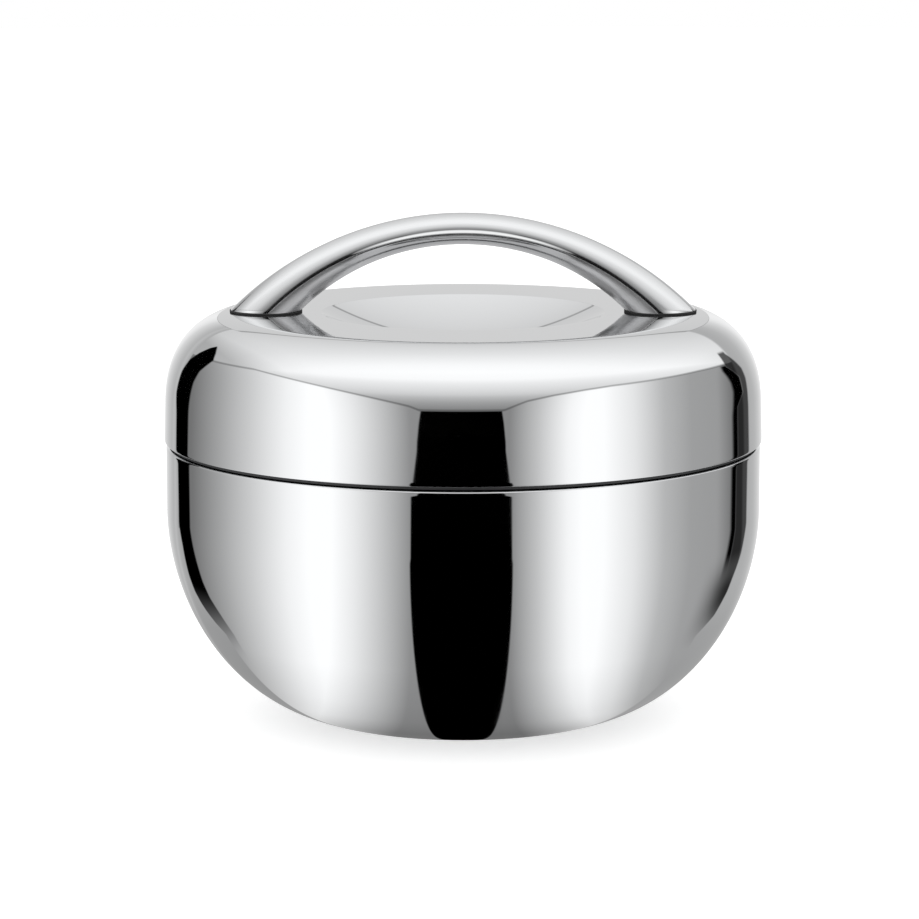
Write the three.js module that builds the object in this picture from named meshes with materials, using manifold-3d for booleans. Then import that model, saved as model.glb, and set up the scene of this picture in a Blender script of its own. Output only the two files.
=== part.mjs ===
// Insulated lunch box: a double-walled steel bowl, a lid that locks on its neck by a quarter-turn
// bayonet, and a hollow arched handle that is screwed to the lid from inside.
// Millimetres, +Z up. The origin is the centre of the standing ring, and the arch stands in the XZ plane.
import * as THREE from "three";
import { mergeVertices } from "three/addons/utils/BufferGeometryUtils.js";
import Module from "manifold-3d";

const wasm = await Module();
wasm.setup();

// Driving dimensions of the outside
const HEIGHT = 125;
const LID_RADIUS = 74;
const BOWL_RADIUS = 73.6;
const BASE_RADIUS = 31;
const BOWL_CURVE_TOP = 52.2;
const SEAM_BOTTOM = 68;
const SEAM_TOP = 69;
const SKIRT_TOP = 79.6;
const LID_TOP = 100.5;
const CREST_RADIUS = 56;

// The round hollow in the middle of the lid's top: steepest at its edge, nearly level in the middle
const DISH_RADIUS = 35;
const DISH_DEPTH = 9;
const DISH_STEPS = 5;

// Recess inside the standing ring
const RECESS_HEIGHT = 1.5;
const RECESS_RADIUS = 24;
const RING_INSIDE = 27.2;

// Sheet, walls and clearances
const SHEET = 0.7;
const LINER_SHEET = 0.6;
const GAP = 0.3;
const AIR_GAP = 5.3;
const AROUND = 44;

// Neck of the bowl
const LINER_RADIUS = BOWL_RADIUS - SHEET - AIR_GAP;
const LINER_BOTTOM = 5.5;
const LINER_BASE_RADIUS = 26;
const NECK_INSIDE = LINER_RADIUS + GAP;
const NECK_RADIUS = 69.7;
const NECK_TOP = 76.9;
const RIM_HEIGHT = 78;

// Bayonet: four lugs on the neck, four in the lid
const LUG_COUNT = 4;
const LUG_HALF_ANGLE = 12;
const LUG_ENTRY_ANGLE = 36;
const LUG_RAMP_ANGLE = 6;
const NECK_LUG_RADIUS = 71.2;
const NECK_LUG_BOTTOM = 73;
const NECK_LUG_TOP = 75.5;
const LID_LUG_RADIUS = 70.2;
const LID_LUG_BOTTOM = 70.3;
const LID_LUG_TOP = 72.6;

// Ring inside the lid
const COLLAR_RADIUS = 72.9;
const COLLAR_INSIDE = 71.7;
const COLLAR_BOTTOM = 69.5;
const SHELF_BOTTOM = 81.3;
const SHELF_TOP = 83.3;
const SHELF_INSIDE = 62;
const LID_LINER_TOP = 86.8;

// Handle: two circle arcs give its side view
const OUTER_ARC_RADIUS = 81;
const INNER_ARC_RADIUS = 57;
const INNER_ARC_TOP = 117.2;
const HANDLE_MIDDLE_WIDTH = 10.5;
const HANDLE_FOOT_WIDTH = 16.6;
const HANDLE_SHEET = 0.8;
const HANDLE_SEAM_DROP = 0.85;
const SEAM_BEAD = 0.5;
const SEAM_BEAD_HEIGHT = 0.75;
const SEAM_BEAD_END = 0.55;
const HANDLE_FOOT = 101.4;
const HANDLE_STATIONS = 24;
const HALF_SECTION_STEPS = 7;
const PAD_BOTTOM = 100.8;
const PAD_THICKNESS = 0.3;
const PAD_OVERHANG = 0.1;

// Fasteners of the handle, one set in each foot
const SCREW_X = 45.6;
const SCREW_RADIUS = 2;
const SCREW_TIP = 106.2;
const SCREW_HOLE = 2.4;
const BLOCK_STATION = 0.84;

// Finishes
const mirrorSteel = { color: 0xd2d4d6, metalness: 1, roughness: 0.04 };
const satinSteel = { color: 0xc4c6c8, metalness: 1, roughness: 0.3 };
const platedSteel = { color: 0xb4b6b8, metalness: 1, roughness: 0.35 };
const darkPlastic = { color: 0x2a2a2c, metalness: 0, roughness: 0.5 };
const palePlastic = { color: 0xe4e4e0, metalness: 0, roughness: 0.45 };
const darkRubber = { color: 0x1c1c1d, metalness: 0, roughness: 0.7 };
const clearSilicone = { color: 0xe9ebea, metalness: 0, roughness: 0.55 };

const radians = THREE.MathUtils.degToRad;
const points = (pairs) => pairs.map(([r, z]) => new THREE.Vector2(r, z));

// A line of [radius, height] points moved sideways, to the left of its direction.
function offset(line, distance) {
  return line.map((point, i) => {
    const before = line[Math.max(i - 1, 0)];
    const after = line[Math.min(i + 1, line.length - 1)];
    const along = after.clone().sub(before).normalize();
    return new THREE.Vector2(point.x - along.y * distance, point.y + along.x * distance);
  });
}

// The outline of a sheet with one face on the line and the other to the left of it.
function sheetOutline(line, wall) {
  const back = offset(line, wall).reverse();
  const outline = line[0].x === 0 ? [...line, ...back] : [...back, ...line];
  outline[0].x = 0;
  outline[outline.length - 1].x = 0;
  return outline;
}

// Turns an outline about Z. It starts and ends on the axis, or is closed here.
function revolve(outline, steps = AROUND) {
  const closed = outline[0].x === 0 ? outline : [...outline, outline[0]];
  return new THREE.LatheGeometry(closed, steps).rotateX(Math.PI / 2);
}

// Joins rings of points, each with the same count, into a closed body with flat ends.
function loft(rings, section) {
  const count = rings[0].length;
  const indices = [];
  for (let i = 0; i + 1 < rings.length; i++) {
    for (let j = 0; j < count; j++) {
      const a = i * count + j;
      const b = i * count + ((j + 1) % count);
      indices.push(a, b, b + count, a, b + count, a + count);
    }
  }
  const last = (rings.length - 1) * count;
  for (const [a, b, c] of THREE.ShapeUtils.triangulateShape(section, [])) {
    indices.push(a, c, b, last + a, last + b, last + c);
  }
  return new THREE.BufferGeometry().setFromPoints(rings.flat()).setIndex(indices);
}

function solid(geometry) {
  const bare = geometry.clone();
  bare.deleteAttribute("normal");
  bare.deleteAttribute("uv");
  const merged = mergeVertices(bare, 1e-4);
  const vertProperties = merged.attributes.position.array;
  const triVerts = new Uint32Array(merged.index.array);
  return new wasm.Manifold(new wasm.Mesh({ numProp: 3, vertProperties, triVerts }));
}

function geometryOf(body) {
  const { vertProperties, triVerts } = body.getMesh();
  const geometry = new THREE.BufferGeometry();
  geometry.setAttribute("position", new THREE.BufferAttribute(vertProperties, 3));
  geometry.setIndex(new THREE.BufferAttribute(triVerts, 1));
  geometry.computeVertexNormals();
  return geometry;
}

function cut(geometry, tools) {
  return geometryOf(tools.reduce((body, tool) => body.subtract(solid(tool)), solid(geometry)));
}

function join(geometry, additions) {
  return geometryOf(additions.reduce((body, more) => body.add(solid(more)), solid(geometry)));
}

function named(name, geometry, finish) {
  const mesh = new THREE.Mesh(geometry, new THREE.MeshStandardMaterial(finish));
  mesh.name = name;
  return mesh;
}

function drill(x, radius, bottom, top) {
  const hole = new THREE.CylinderGeometry(radius, radius, top - bottom, 12).rotateX(Math.PI / 2);
  return hole.translate(x, 0, (bottom + top) / 2);
}

// A quarter of a superellipse that starts level at the base and ends upright at the wall.
function bowlCurve(baseRadius, baseHeight, radius, top, steps) {
  const line = [];
  for (let i = 0; i <= steps; i++) {
    const turn = (i / steps) * (Math.PI / 2);
    const outwards = Math.sin(turn) ** 1.031;
    const upwards = 1 - Math.cos(turn) ** 1.042;
    line.push(
      new THREE.Vector2(
        baseRadius + (radius - baseRadius) * outwards,
        baseHeight + (top - baseHeight) * upwards,
      ),
    );
  }
  return line;
}

// Outer bowl: a pressed recess inside the standing ring, the round wall, and a lip turned in.
function bowlOuterShell() {
  const recess = points([
    [0, RECESS_HEIGHT],
    [RECESS_RADIUS, RECESS_HEIGHT],
    [RING_INSIDE - 1.2, RECESS_HEIGHT * 0.4],
    [RING_INSIDE, 0],
  ]);
  const wall = bowlCurve(BASE_RADIUS, 0, BOWL_RADIUS, BOWL_CURVE_TOP, 8);
  const lip = points([
    [BOWL_RADIUS, SEAM_BOTTOM - 0.7],
    [BOWL_RADIUS - 0.5, SEAM_BOTTOM],
    [NECK_RADIUS + SHEET, SEAM_BOTTOM],
  ]);
  return revolve(sheetOutline([...recess, ...wall, ...lip], SHEET));
}

// Inner bowl: the food touches it, and its rim is rolled out over the neck.
function bowlInnerLiner() {
  const wall = bowlCurve(LINER_BASE_RADIUS, LINER_BOTTOM, LINER_RADIUS, BOWL_CURVE_TOP, 6);
  const rim = points([
    [LINER_RADIUS, RIM_HEIGHT - 0.7],
    [LINER_RADIUS + 0.7, RIM_HEIGHT],
    [NECK_RADIUS + 0.1, RIM_HEIGHT],
  ]);
  const floor = points([[0, LINER_BOTTOM]]);
  return revolve(sheetOutline([...floor, ...wall, ...rim], LINER_SHEET));
}

// A block that follows the ring between two angles, with a floor and roof given at each angle.
function arcBlock(inside, outside, from, to, steps, floorAt, roofAt) {
  const corners = [[inside, floorAt], [outside, floorAt], [outside, roofAt], [inside, roofAt]];
  const rings = [];
  for (let i = 0; i <= steps; i++) {
    const degrees = from + ((to - from) * i) / steps;
    const angle = radians(degrees);
    rings.push(
      corners.map(([radius, heightAt]) => {
        const z = heightAt(degrees);
        return new THREE.Vector3(radius * Math.cos(angle), radius * Math.sin(angle), z);
      }),
    );
  }
  return loft(rings.reverse(), points([[0, 0], [1, 0], [1, 1], [0, 1]]));
}

// Neck: it clips under the bowl's lip, joins the two walls and carries the outward lugs.
function bowlNeckCollar() {
  const hem = NECK_RADIUS + 0.4;
  const ring = revolve(points([
    [NECK_INSIDE, 60],
    [NECK_RADIUS - 0.3, 60],
    [hem, 64.6],
    [hem + 1.3, 65.4],
    [hem + 1.3, 66.9],
    [hem, 66.9],
    [hem, SEAM_BOTTOM + GAP],
    [COLLAR_RADIUS, SEAM_BOTTOM + GAP],
    [COLLAR_RADIUS, SEAM_BOTTOM + 1.2],
    [NECK_RADIUS, SEAM_BOTTOM + 1.2],
    [NECK_RADIUS, NECK_TOP],
    [NECK_INSIDE, NECK_TOP],
  ]));
  const root = NECK_RADIUS - 0.6;
  const additions = [];
  for (let i = 0; i < LUG_COUNT; i++) {
    const centre = (i * 360) / LUG_COUNT;
    const entry = centre + LUG_HALF_ANGLE;
    const leadIn = (degrees) => Math.max(0, degrees - (entry - LUG_RAMP_ANGLE)) / LUG_RAMP_ANGLE;
    const underside = (degrees) => NECK_LUG_BOTTOM + 0.8 * leadIn(degrees);
    const top = () => NECK_LUG_TOP;
    const from = centre - LUG_HALF_ANGLE;
    additions.push(arcBlock(root, NECK_LUG_RADIUS, from, entry, 4, underside, top));
    const stopFloor = () => LID_LUG_BOTTOM;
    additions.push(arcBlock(root, NECK_LUG_RADIUS, from - 4, from - 0.6, 1, stopFloor, top));
  }
  return join(ring, additions);
}

function bowlLinerGasket() {
  const inside = LINER_RADIUS + 0.8;
  const bottom = NECK_TOP + GAP;
  const top = RIM_HEIGHT - GAP;
  return revolve(points([[inside, bottom], [NECK_RADIUS, bottom], [NECK_RADIUS, top], [inside, top]]));
}

// Outer line of the lid from its skirt over the shoulder and the flat ring into the hollow.
function lidLine() {
  const skirt = points([[LID_RADIUS - 0.5, SEAM_TOP], [LID_RADIUS, SEAM_TOP + 0.6]]);
  const shoulder = new THREE.CubicBezierCurve(
    new THREE.Vector2(LID_RADIUS, SKIRT_TOP),
    new THREE.Vector2(LID_RADIUS, SKIRT_TOP + 13.8),
    new THREE.Vector2(CREST_RADIUS + 8.8, LID_TOP),
    new THREE.Vector2(CREST_RADIUS, LID_TOP),
  ).getPoints(6);
  const dish = [];
  for (let i = 0; i <= DISH_STEPS; i++) {
    const share = 1 - i / DISH_STEPS;
    const height = LID_TOP - DISH_DEPTH * (1 - share ** 2);
    dish.push(new THREE.Vector2(DISH_RADIUS * share, height));
  }
  return [...skirt, ...shoulder, ...dish];
}

function lidOuterShell() {
  const shell = revolve(sheetOutline(lidLine(), SHEET));
  const holes = [-1, 1].map((side) => drill(side * SCREW_X, SCREW_HOLE, LID_TOP - 3, LID_TOP + 3));
  return cut(shell, holes);
}

// Inside of the lid: a shallow pan on the ring's shelf, which closes the air gap of the lid.
function lidInnerLiner() {
  const pan = points([
    [COLLAR_INSIDE - 0.4, SHELF_TOP + 0.9],
    [SHELF_INSIDE + 0.5, SHELF_TOP + 0.9],
    [SHELF_INSIDE - 1, SHELF_TOP + 1.9],
    [SHELF_INSIDE - 2.5, LID_LINER_TOP - 0.4],
    [SHELF_INSIDE - 4.5, LID_LINER_TOP],
    [0, LID_LINER_TOP],
  ]);
  return revolve(sheetOutline(pan, LINER_SHEET));
}

// Ring inside the lid's skirt: the groove for the seal, and the inward lugs of the bayonet.
function lidCollar() {
  const ring = revolve(points([
    [SHELF_INSIDE, 79.3],
    [SHELF_INSIDE + 1.2, 79.3],
    [SHELF_INSIDE + 1.2, SHELF_BOTTOM],
    [COLLAR_INSIDE, SHELF_BOTTOM],
    [COLLAR_INSIDE, COLLAR_BOTTOM],
    [COLLAR_RADIUS, COLLAR_BOTTOM],
    [COLLAR_RADIUS, 80.3],
    [COLLAR_RADIUS - 0.9, SHELF_TOP],
    [SHELF_INSIDE, SHELF_TOP],
  ]));
  const root = COLLAR_INSIDE + 0.6;
  const lugs = [];
  for (let i = 0; i < LUG_COUNT; i++) {
    const centre = LUG_ENTRY_ANGLE + (i * 360) / LUG_COUNT;
    const from = centre - LUG_HALF_ANGLE;
    const leadIn = (degrees) => Math.max(0, from + LUG_RAMP_ANGLE - degrees) / LUG_RAMP_ANGLE;
    const top = (degrees) => LID_LUG_TOP - 0.8 * leadIn(degrees);
    const to = centre + LUG_HALF_ANGLE;
    lugs.push(arcBlock(LID_LUG_RADIUS, root, from, to, 4, () => LID_LUG_BOTTOM, top));
  }
  return join(ring, lugs);
}

// Seal: a flat ring in the lid's groove with a lip that presses on the bowl's rim.
function lidSeal() {
  return revolve(points([
    [63.6, 79.6],
    [66.4, 79.6],
    [67.2, RIM_HEIGHT + 0.9],
    [69.2, RIM_HEIGHT + 0.9],
    [70.9, 80],
    [70.9, 81],
    [63.6, 81],
  ]));
}

// Point of a circle arc in the XZ plane, at a share of the way from the top to the foot.
function arcPoint(radius, top, share) {
  const centre = top - radius;
  const angle = share * Math.acos((HANDLE_FOOT - centre) / radius);
  return new THREE.Vector3(radius * Math.sin(angle), 0, centre + radius * Math.cos(angle));
}

// Section of the handle at a share of the way: its middle, upward direction, half height, half width,
// and how far the seam's bead stands out, which dies away before the feet.
function handleSection(share) {
  const outer = arcPoint(OUTER_ARC_RADIUS, HEIGHT, share);
  const inner = arcPoint(INNER_ARC_RADIUS, INNER_ARC_TOP, share);
  const rise = outer.clone().sub(inner);
  const middle = outer.clone().add(inner).multiplyScalar(0.5);
  const width = THREE.MathUtils.lerp(HANDLE_MIDDLE_WIDTH, HANDLE_FOOT_WIDTH, share ** 2);
  const bead = SEAM_BEAD * Math.max(1 - (share / SEAM_BEAD_END) ** 2, 0);
  return { middle, up: rise.clone().normalize(), half: rise.length() / 2, halfWidth: width / 2, bead };
}

function onSection({ middle, up }, across, height) {
  const point = middle.clone().addScaledVector(up, height);
  return point.setY(across);
}

// One half of the hollow arch, pressed from sheet. The halves meet a little under the middle line,
// where a small bead stands out along both sides.
function handleShell(side) {
  const line = [];
  for (let i = 0; i <= HALF_SECTION_STEPS; i++) {
    line.push((i / HALF_SECTION_STEPS) * Math.PI);
  }
  const ringAt = (section) => {
    const rise = section.half + side * HANDLE_SEAM_DROP - GAP / 2;
    const at = (width, height, angle) => {
      const up = side * (height * Math.sin(angle) + GAP / 2) - HANDLE_SEAM_DROP;
      return new THREE.Vector2(width * Math.cos(angle), up);
    };
    const beadAngle = Math.asin(SEAM_BEAD_HEIGHT / rise);
    const round = [beadAngle, ...line.slice(1, -1), Math.PI - beadAngle];
    const outside = [
      at(section.halfWidth + section.bead, rise, 0),
      ...round.map((angle) => at(section.halfWidth, rise, angle)),
      at(section.halfWidth + section.bead, rise, Math.PI),
    ];
    const inside = line.map((angle) => at(section.halfWidth - HANDLE_SHEET, rise - HANDLE_SHEET, angle));
    return side > 0 ? [...outside, ...inside.reverse()] : [...inside, ...outside.reverse()];
  };
  const rings = [];
  for (let i = 0; i <= HANDLE_STATIONS; i++) {
    const section = handleSection((2 * i) / HANDLE_STATIONS - 1);
    rings.push(ringAt(section).map(({ x, y }) => onSection(section, x, y)));
  }
  return loft(rings, ringAt(handleSection(1)));
}

// Threaded block that closes the right foot and takes its screw.
function footBlock() {
  const play = HANDLE_SHEET + GAP;
  const around = 16;
  const rings = [];
  for (const share of [BLOCK_STATION, (1 + BLOCK_STATION) / 2, 1]) {
    const section = handleSection(share);
    const ring = [];
    for (let j = 0; j < around; j++) {
      const angle = (j / around) * 2 * Math.PI;
      const across = (section.halfWidth - play) * Math.cos(angle);
      ring.push(onSection(section, across, (section.half - play) * Math.sin(angle)));
    }
    rings.push(ring);
  }
  const circle = new THREE.Path().absarc(0, 0, 1, 0, 2 * Math.PI).getSpacedPoints(around);
  const thread = drill(SCREW_X, SCREW_RADIUS + GAP, HANDLE_FOOT - 2, SCREW_TIP + GAP);
  return cut(loft(rings, circle.slice(0, around)), [thread]);
}

// Thin pad under a foot, a little wider than the foot all round.
function footPad() {
  const { middle, half, halfWidth } = handleSection(1);
  const outline = new THREE.Shape();
  outline.absellipse(middle.x, 0, half + PAD_OVERHANG, halfWidth + PAD_OVERHANG, 0, 2 * Math.PI);
  outline.holes.push(new THREE.Path().absarc(SCREW_X, 0, SCREW_HOLE, 0, 2 * Math.PI, true));
  const form = { depth: PAD_THICKNESS, bevelEnabled: false, curveSegments: 14 };
  return new THREE.ExtrudeGeometry(outline, form).translate(0, 0, PAD_BOTTOM);
}

const PLATE_TOP = LID_TOP - SHEET - GAP;
const PLATE_BOTTOM = PLATE_TOP - 1.2;
const WASHER_TOP = PLATE_BOTTOM - GAP;
const WASHER_BOTTOM = WASHER_TOP - 0.8;
const HEAD_TOP = WASHER_BOTTOM - GAP;

// Plate that spreads the pull of the screw over the thin lid.
function backingPlate() {
  const halfLength = 11;
  const corner = 3;
  const [left, right] = [39.5, 53.5];
  const outline = new THREE.Shape();
  outline.absarc(right - corner, halfLength - corner, corner, 0, Math.PI / 2);
  outline.absarc(left + corner, halfLength - corner, corner, Math.PI / 2, Math.PI);
  outline.absarc(left + corner, corner - halfLength, corner, Math.PI, 1.5 * Math.PI);
  outline.absarc(right - corner, corner - halfLength, corner, 1.5 * Math.PI, 2 * Math.PI);
  outline.holes.push(new THREE.Path().absarc(SCREW_X, 0, SCREW_HOLE, 0, 2 * Math.PI, true));
  const form = { depth: PLATE_TOP - PLATE_BOTTOM, bevelEnabled: false, curveSegments: 4 };
  return new THREE.ExtrudeGeometry(outline, form).translate(0, 0, PLATE_BOTTOM);
}

// Split spring washer.
function lockWasher() {
  const slit = radians(8);
  const outline = new THREE.Shape();
  outline.absarc(SCREW_X, 0, 3.9, slit, 2 * Math.PI - slit);
  outline.absarc(SCREW_X, 0, SCREW_HOLE - 0.1, 2 * Math.PI - slit, slit, true);
  const form = { depth: WASHER_TOP - WASHER_BOTTOM, bevelEnabled: false, curveSegments: 10 };
  return new THREE.ExtrudeGeometry(outline, form).translate(0, 0, WASHER_BOTTOM);
}

// Pan head screw with its head down, inside the lid.
function handleScrew() {
  const head = 3.7;
  const profile = points([
    [0, HEAD_TOP - 1.2],
    [1.5, HEAD_TOP - 1.2],
    [1.5, HEAD_TOP - 2.6],
    [head - 0.9, HEAD_TOP - 2.6],
    [head, HEAD_TOP - 1.6],
    [head, HEAD_TOP],
    [SCREW_RADIUS, HEAD_TOP],
    [SCREW_RADIUS, SCREW_TIP - 0.6],
    [SCREW_RADIUS - 0.6, SCREW_TIP],
    [0, SCREW_TIP],
  ]);
  return revolve(profile, 12).translate(SCREW_X, 0, 0);
}

const bowl = new THREE.Group().add(
  named("bowl_outer_shell", bowlOuterShell(), mirrorSteel),
  named("bowl_inner_liner", bowlInnerLiner(), satinSteel),
  named("bowl_neck_collar", bowlNeckCollar(), darkPlastic),
  named("bowl_liner_gasket", bowlLinerGasket(), clearSilicone),
);

const seal = new THREE.Group().add(named("lid_seal", lidSeal(), clearSilicone));

const lid = new THREE.Group().add(
  named("lid_outer_shell", lidOuterShell(), mirrorSteel),
  named("lid_inner_liner", lidInnerLiner(), satinSteel),
  named("lid_collar", lidCollar(), palePlastic),
  named("handle_upper_shell", handleShell(1), mirrorSteel),
  named("handle_lower_shell", handleShell(-1), mirrorSteel),
);

// The same hardware holds both feet: the left set is the right one turned half round.
for (const [side, turn] of [["right", 0], ["left", Math.PI]]) {
  const foot = new THREE.Group().add(
    named("handle_foot_pad_" + side, footPad(), darkRubber),
    named("handle_foot_block_" + side, footBlock(), platedSteel),
    named("handle_backing_plate_" + side, backingPlate(), satinSteel),
    named("handle_lock_washer_" + side, lockWasher(), platedSteel),
    named("handle_screw_" + side, handleScrew(), platedSteel),
  );
  foot.rotation.z = turn;
  lid.add(foot);
}

const lunchBox = new THREE.Group().add(bowl, seal, lid);

export default lunchBox;
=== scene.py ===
"""Looks of the insulated lunch box: polished bowl and lid, hollow arched handle, bayonet rings and seal.

Lengths are written in millimetres and made metres as each piece is built.
The origin is the centre of the standing ring, +Z is up, and the front faces -Y.
"""

import math

import bmesh
import bpy
from mathutils import Matrix, Vector


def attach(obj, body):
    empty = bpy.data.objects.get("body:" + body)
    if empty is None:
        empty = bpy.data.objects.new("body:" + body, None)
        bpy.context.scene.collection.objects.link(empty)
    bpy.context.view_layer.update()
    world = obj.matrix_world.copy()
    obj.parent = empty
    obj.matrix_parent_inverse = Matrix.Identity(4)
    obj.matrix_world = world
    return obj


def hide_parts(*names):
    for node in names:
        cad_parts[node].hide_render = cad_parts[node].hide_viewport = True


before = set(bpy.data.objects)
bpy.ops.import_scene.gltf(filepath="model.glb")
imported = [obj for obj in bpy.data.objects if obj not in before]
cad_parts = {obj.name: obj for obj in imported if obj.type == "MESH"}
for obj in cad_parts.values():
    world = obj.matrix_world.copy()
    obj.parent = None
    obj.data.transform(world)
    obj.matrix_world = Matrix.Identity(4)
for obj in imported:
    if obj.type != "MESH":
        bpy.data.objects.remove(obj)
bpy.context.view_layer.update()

MM = 0.001

# Outside of the bowl and the lid
HEIGHT = 125
LID_RADIUS = 74
BOWL_RADIUS = 73.6
BASE_RADIUS = 31
RECESS_RADIUS = 24
RECESS_DEPTH = 1.5
BOWL_CURVE_TOP = 52.2
# Powers of the sine and cosine in the bowl's curve: 1 is an ellipse, and more is flatter at that end
CURVE_OUTWARDS = 1.031
CURVE_UPWARDS = 1.042
SEAM_BOTTOM = 68
SEAM_TOP = 69
SKIRT_TOP = 79.6
LID_TOP = 100.5
CREST_RADIUS = 56
SKIRT_LEAN = 0.25
SKIRT_CURVE = 0.237
SHOULDER_RISE = 16.2
SHOULDER_FLAT = 6.7
DISH_RADIUS = 35
DISH_DEPTH = 9

# Sheet, how it is rounded, and the parts of the neck
SHEET = 0.7
LINER_SHEET = 0.6
GAP = 0.3
LIP_ROUNDING = 0.7
PRESSED_ROUNDING = 1.2
SKIRT_ROUNDING = 0.5
DISH_EDGE_ROUNDING = 0.4
LINER_RADIUS = 67.6
LINER_BOTTOM = 5.5
LINER_BASE_RADIUS = 26
NECK_INSIDE = LINER_RADIUS + GAP
NECK_RADIUS = 69.7
NECK_BOTTOM = 60
HEM_BOTTOM = 64.6
HEM_TOP = 66.9
NECK_TOP = 76.9
RIM_HEIGHT = 78

# Bayonet
LUG_COUNT = 4
LUG_HALF_ANGLE = 12
LUG_ENTRY_ANGLE = 36
LUG_RAMP_ANGLE = 6
LUG_RAMP_RISE = 0.8
STOP_RIB_START = 4
STOP_RIB_END = 0.6
NECK_LUG_RADIUS = 71.2
NECK_LUG_BOTTOM = 73
NECK_LUG_TOP = 75.5
LID_LUG_RADIUS = 70.2
LID_LUG_BOTTOM = 70.3
LID_LUG_TOP = 72.6
COLLAR_RADIUS = 72.9
COLLAR_INSIDE = 71.7
COLLAR_BOTTOM = 69.5
SHELF_BOTTOM = 81.3
SHELF_TOP = 83.3
SHELF_INSIDE = 62
SHELF_LIP_BOTTOM = 79.3
LID_LINER_TOP = 86.8
SEAL_INSIDE = 63.6
SEAL_RADIUS = 70.9
SEAL_BOTTOM = 79.6
SEAL_TOP = 81

# Arched handle: a circle arc over it and one under it give its front view
OUTER_ARC_RADIUS = 81
INNER_ARC_RADIUS = 57
INNER_ARC_TOP = 117.2
HANDLE_MIDDLE_WIDTH = 10.5
HANDLE_FOOT_WIDTH = 16.6
HANDLE_SHEET = 0.8
HANDLE_SEAM_DROP = 0.85
SEAM_BEAD = 0.5
SEAM_BEAD_HEIGHT = 0.75
SEAM_BEAD_END = 0.55
CLOSED_SEAM = 0.02
HANDLE_FULLNESS = 0.3
HANDLE_CORNER = 0.15
HANDLE_CORNER_ANGLE = 50
HANDLE_FOOT = 100.95
PAD_BOTTOM = 100.55
PAD_THICKNESS = 0.35
PAD_OVERHANG = 0.1
SCREW_X = 45.6
SCREW_HOLE = 2.4

# Fineness of the turned and bent pieces
AROUND = 256
HANDLE_STATIONS = 96
HALF_SECTION_STEPS = 48
SHARP_ANGLE = 35


# Lines and outlines

def rounded(corners, radius, steps=5):
    """A line of (radius, height) points with each inner corner rounded."""
    line = [corners[0]]
    for before, corner, after in zip(corners, corners[1:], corners[2:]):
        here = Vector(corner)
        back, on = Vector(before) - here, Vector(after) - here
        reach = min(radius / math.tan(back.angle(on) / 2), 0.49 * back.length, 0.49 * on.length)
        start, end = here + back.normalized() * reach, here + on.normalized() * reach
        for step in range(steps + 1):
            share = step / steps
            line.append(tuple(start.lerp(here, share).lerp(here.lerp(end, share), share)))
    return line + [corners[-1]]


def set_aside(line, distance):
    """The line moved sideways, to the left of its direction."""
    moved = []
    for i, point in enumerate(line):
        before = Vector(line[max(i - 1, 0)])
        after = Vector(line[min(i + 1, len(line) - 1)])
        along = (after - before).normalized()
        moved.append((point[0] - along.y * distance, point[1] + along.x * distance))
    return moved


def sheet_outline(line, wall):
    """Outline of a sheet with one face on the line and the other to the left of it."""
    back = set_aside(line, wall)[::-1]
    if line[0][0] == 0:
        return line + back[:-1] + [(0, back[-1][1])]
    return [(0, back[0][1])] + back[1:] + line[:-1] + [(0, line[-1][1])]


def bowl_curve(base_radius, base_height, radius, top, steps):
    """A rounded quarter that starts level at the base and ends upright at the wall."""
    line = []
    for i in range(steps + 1):
        turn = i / steps * math.pi / 2
        outwards = (radius - base_radius) * math.sin(turn) ** CURVE_OUTWARDS
        upwards = (top - base_height) * (1 - max(math.cos(turn), 0) ** CURVE_UPWARDS)
        line.append((base_radius + outwards, base_height + upwards))
    return line


# Pieces from bmesh

def finished(bm, name, body, finish, stands_for):
    """Closes a bmesh into a named piece that rides on its body and takes the place of its node."""
    bmesh.ops.remove_doubles(bm, verts=bm.verts, dist=1e-7)
    bmesh.ops.recalc_face_normals(bm, faces=bm.faces)
    mesh = bpy.data.meshes.new(name)
    bm.to_mesh(mesh)
    bm.free()
    mesh.shade_smooth()
    mesh.set_sharp_from_angle(angle=math.radians(SHARP_ANGLE))
    piece = bpy.data.objects.new(name, mesh)
    bpy.context.scene.collection.objects.link(piece)
    mesh.materials.append(finish)
    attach(piece, body)
    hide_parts(stands_for)
    return piece


def turned(bm, outline, steps=AROUND):
    """Turns an outline about the upright axis. It starts and ends on the axis, or is closed here."""
    corners = [bm.verts.new((r * MM, 0, z * MM)) for r, z in outline]
    edges = [bm.edges.new(pair) for pair in zip(corners, corners[1:])]
    if outline[0][0] > 0:
        edges.append(bm.edges.new((corners[-1], corners[0])))
    bmesh.ops.spin(
        bm, geom=corners + edges, axis=(0, 0, 1), cent=(0, 0, 0), angle=math.tau, steps=steps, use_merge=True
    )
    return bm


# Colours and nodes

STEEL_SHADE = "#E6E7E8"
# Colour of the handle's underside: darker than the steel, as painted shade for the dark reflection under the
# arch
HANDLE_UNDERSIDE_PAINTED_SHADE = "#A9A9AA"


def linear(hex_colour):
    """A colour written as sRGB hex, as the linear values that nodes take."""
    channels = [int(hex_colour[i:i + 2], 16) / 255 for i in (1, 3, 5)]
    return tuple([c / 12.92 if c <= 0.04045 else ((c + 0.055) / 1.055) ** 2.4 for c in channels] + [1])


def add(tree, kind, inputs=(), stops=(), **settings):
    """Adds a node with its options and ramp stops, and feeds its inputs from values or nodes' sockets."""
    node = tree.nodes.new(kind)
    for option, value in settings.items():
        setattr(node, option, value)
    for key, value in dict(inputs).items():
        if isinstance(value, bpy.types.NodeSocket):
            tree.links.new(value, node.inputs[key])
        else:
            node.inputs[key].default_value = value
    for i, (place, amount) in enumerate(stops):
        marks = node.color_ramp.elements
        mark = marks[i] if i < 2 else marks.new(place)
        mark.position, mark.color = place, (amount, amount, amount, 1)
    return node


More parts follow.
